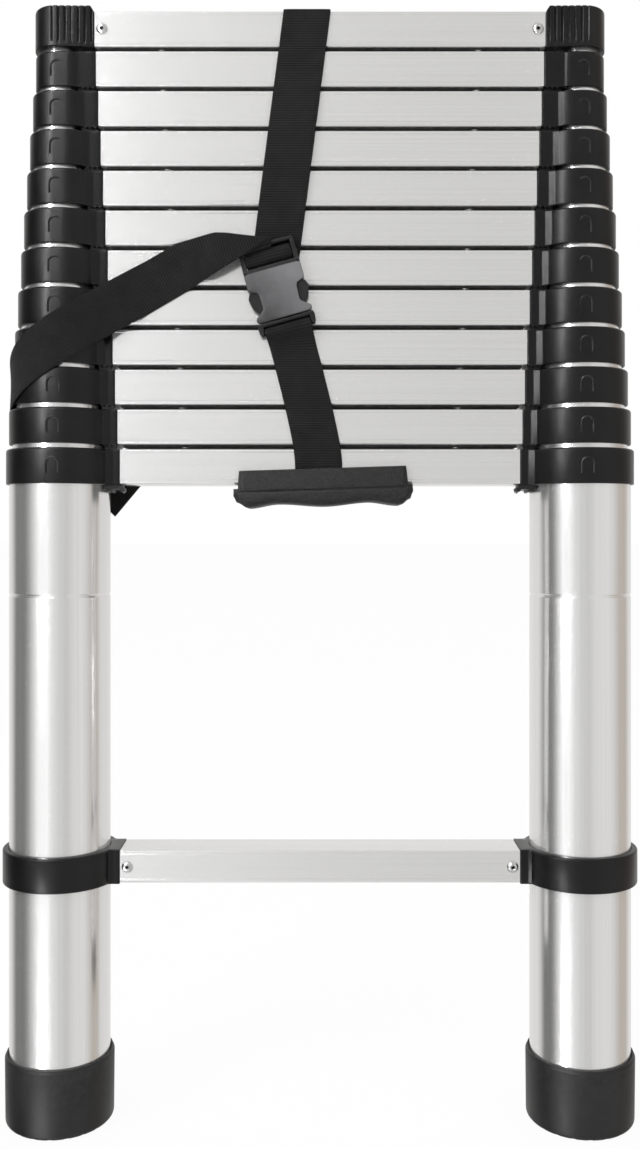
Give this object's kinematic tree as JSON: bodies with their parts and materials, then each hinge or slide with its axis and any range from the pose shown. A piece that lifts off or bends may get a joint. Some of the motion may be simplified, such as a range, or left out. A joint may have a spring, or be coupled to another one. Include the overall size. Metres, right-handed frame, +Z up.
{
  "type": "telescoping ladder",
  "caption": "Closed telescoping ladder with nested round stiles, stacked flat rungs, plastic collars, release tabs, rubber feet, a strap with a buckle and a carry handle.",
  "frame": {"origin": "on the floor, midway between the two feet, at the middle of the bounding box's base", "axes": "+Z up along the stiles, the way the sections slide out; +X to the right along the rungs, seen from the front; front towards -Y"},
  "size_m": [0.481, 0.085, 0.8385],
  "materials": {
    "aluminium": "satin extruded",
    "collar_plastic": "satin black moulded",
    "rubber": "matt black",
    "webbing": "woven black",
    "buckle_plastic": "fine moulded grain",
    "handle_plastic": "grained black",
    "steel": "bright"
  },
  "bodies": {
    "base": {"base_tube_left": "aluminium", "base_tube_right": "aluminium", "foot_left": "rubber", "foot_right": "rubber", "clamp_left": "collar_plastic", "clamp_right": "collar_plastic", "bottom_rung": "aluminium", "bottom_rivet_left": "steel", "bottom_rivet_right": "steel", "collar_01_left": "collar_plastic", "collar_01_right": "collar_plastic", "rung_01": "aluminium", "carry_handle": "handle_plastic", "strap_lower": "webbing", "buckle_male": "buckle_plastic", "latch_spring_left": "steel", "latch_spring_right": "steel"},
    "latch_left_slide": {"latch_left": "collar_plastic"},
    "latch_right_slide": {"latch_right": "collar_plastic"},
    "section_02": {"section_02_frame": "aluminium", "collar_02_left": "collar_plastic", "collar_02_right": "collar_plastic"},
    "section_03": {"section_03_frame": "aluminium", "collar_03_left": "collar_plastic", "collar_03_right": "collar_plastic"},
    "section_04": {"section_04_frame": "aluminium", "collar_04_left": "collar_plastic", "collar_04_right": "collar_plastic"},
    "section_05": {"section_05_frame": "aluminium", "collar_05_left": "collar_plastic", "collar_05_right": "collar_plastic"},
    "section_06": {"section_06_frame": "aluminium", "collar_06_left": "collar_plastic", "collar_06_right": "collar_plastic"},
    "section_07": {"section_07_frame": "aluminium", "collar_07_left": "collar_plastic", "collar_07_right": "collar_plastic"},
    "section_08": {"section_08_frame": "aluminium", "collar_08_left": "collar_plastic", "collar_08_right": "collar_plastic"},
    "section_09": {"section_09_frame": "aluminium", "collar_09_left": "collar_plastic", "collar_09_right": "collar_plastic"},
    "section_10": {"section_10_frame": "aluminium", "collar_10_left": "collar_plastic", "collar_10_right": "collar_plastic"},
    "section_11": {"section_11_frame": "aluminium", "collar_11_left": "collar_plastic", "collar_11_right": "collar_plastic"},
    "section_12": {"top_tube_left": "aluminium", "top_tube_right": "aluminium", "cap_left": "collar_plastic", "cap_right": "collar_plastic", "rung_12": "aluminium", "top_rivet_left": "steel", "top_rivet_right": "steel", "strap_upper": "webbing", "strap_tail": "webbing", "buckle_female": "buckle_plastic"}
  },
  "joints": [
    {"name": "slide_02", "type": "slide", "parent": "base", "child": "section_02", "axis": [0, 0, 1], "range_m": [0, 0.2702]},
    {"name": "slide_03", "type": "slide", "parent": "section_02", "child": "section_03", "axis": [0, 0, 1], "range_m": [0, 0.2702]},
    {"name": "slide_04", "type": "slide", "parent": "section_03", "child": "section_04", "axis": [0, 0, 1], "range_m": [0, 0.2702]},
    {"name": "slide_05", "type": "slide", "parent": "section_04", "child": "section_05", "axis": [0, 0, 1], "range_m": [0, 0.2702]},
    {"name": "slide_06", "type": "slide", "parent": "section_05", "child": "section_06", "axis": [0, 0, 1], "range_m": [0, 0.2702]},
    {"name": "slide_07", "type": "slide", "parent": "section_06", "child": "section_07", "axis": [0, 0, 1], "range_m": [0, 0.2702]},
    {"name": "slide_08", "type": "slide", "parent": "section_07", "child": "section_08", "axis": [0, 0, 1], "range_m": [0, 0.2702]},
    {"name": "slide_09", "type": "slide", "parent": "section_08", "child": "section_09", "axis": [0, 0, 1], "range_m": [0, 0.2702]},
    {"name": "slide_10", "type": "slide", "parent": "section_09", "child": "section_10", "axis": [0, 0, 1], "range_m": [0, 0.2702]},
    {"name": "slide_11", "type": "slide", "parent": "section_10", "child": "section_11", "axis": [0, 0, 1], "range_m": [0, 0.2702]},
    {"name": "slide_12", "type": "slide", "parent": "section_11", "child": "section_12", "axis": [0, 0, 1], "range_m": [0, 0.2702]},
    {"name": "latch_left_press", "type": "slide", "parent": "base", "child": "latch_left_slide", "axis": [1, 0, 0], "range_m": [0, 0.006], "stiffness_N_per_m": 400, "springref_m": -0.004, "deforming": ["latch_spring_left"]},
    {"name": "latch_right_press", "type": "slide", "parent": "base", "child": "latch_right_slide", "axis": [-1, 0, 0], "range_m": [0, 0.006], "stiffness_N_per_m": 400, "springref_m": -0.004, "deforming": ["latch_spring_right"]}
  ]
}
